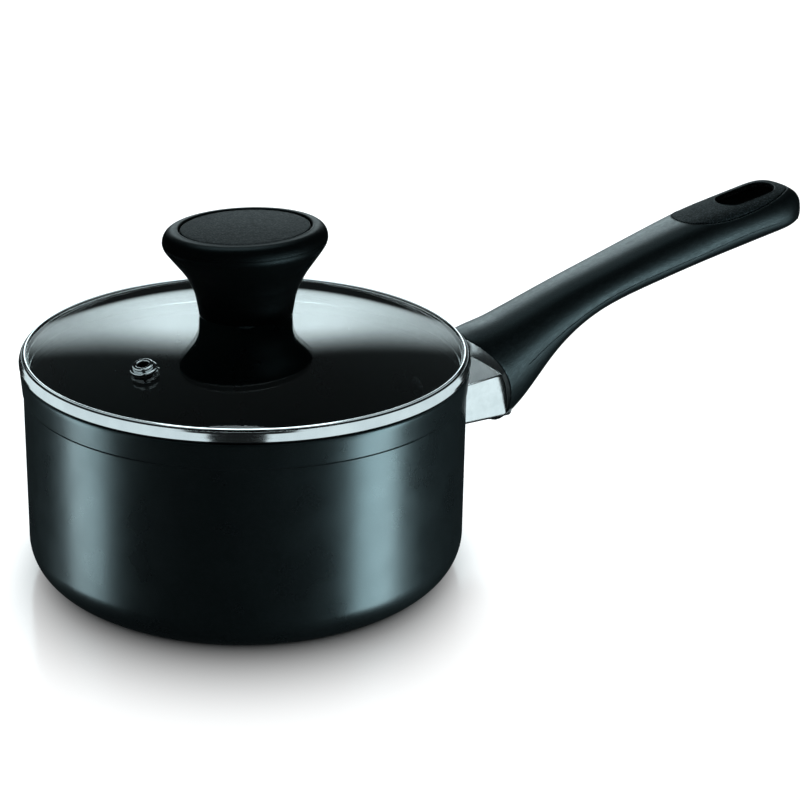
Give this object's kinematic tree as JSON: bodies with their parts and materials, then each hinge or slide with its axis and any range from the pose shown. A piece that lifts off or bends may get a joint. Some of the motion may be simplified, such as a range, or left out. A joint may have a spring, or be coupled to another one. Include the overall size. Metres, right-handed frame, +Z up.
{
  "type": "saucepan with glass lid",
  "caption": "Round straight-walled saucepan with one long raised side handle and a lift-off domed glass lid with an oval knob and a steam vent.",
  "frame": {"origin": "on the pan's vertical axis, at the underside of the base disc", "axes": "+Z up along the pan's axis; +X along the handle, away from the pan; the handle lies in the XZ plane"},
  "size_m": [0.3435, 0.1666, 0.1327],
  "materials": {
    "coated_aluminium": "dark semi-gloss non-stick coating",
    "base_steel": "turned, fine rings",
    "zinc_steel": "satin",
    "rivet_metal": "satin",
    "polished_steel": "polished",
    "eyelet_chrome": "polished",
    "phenolic": "fine matte grain",
    "phenolic_plate": "coarser matte grain",
    "clear_glass": "clear tempered",
    "silicone": "matte",
    "insert_brass": "satin"
  },
  "bodies": {
    "pan": {"pan_shell": "coated_aluminium", "base_disc": "base_steel", "handle_bracket": "zinc_steel", "handle_rivet_left": "rivet_metal", "handle_rivet_right": "rivet_metal", "flame_guard": "polished_steel", "handle_grip": "phenolic", "handle_end_insert": "phenolic_plate", "handle_screw": "zinc_steel", "handle_screw_washer": "zinc_steel"},
    "lid": {"lid_glass": "clear_glass", "lid_rim_band": "polished_steel", "steam_vent_eyelet": "eyelet_chrome", "steam_vent_washer": "eyelet_chrome", "steam_vent_gasket": "silicone", "knob_body": "phenolic", "knob_top_insert": "phenolic_plate", "knob_threaded_insert": "insert_brass", "knob_seat_gasket": "silicone", "knob_gasket": "silicone", "knob_washer": "zinc_steel", "knob_screw": "zinc_steel"}
  },
  "joints": [
    {"name": "lid_lift", "type": "slide", "parent": "pan", "child": "lid", "axis": [0, 0, 1], "range_m": [0, 0.12]}
  ]
}
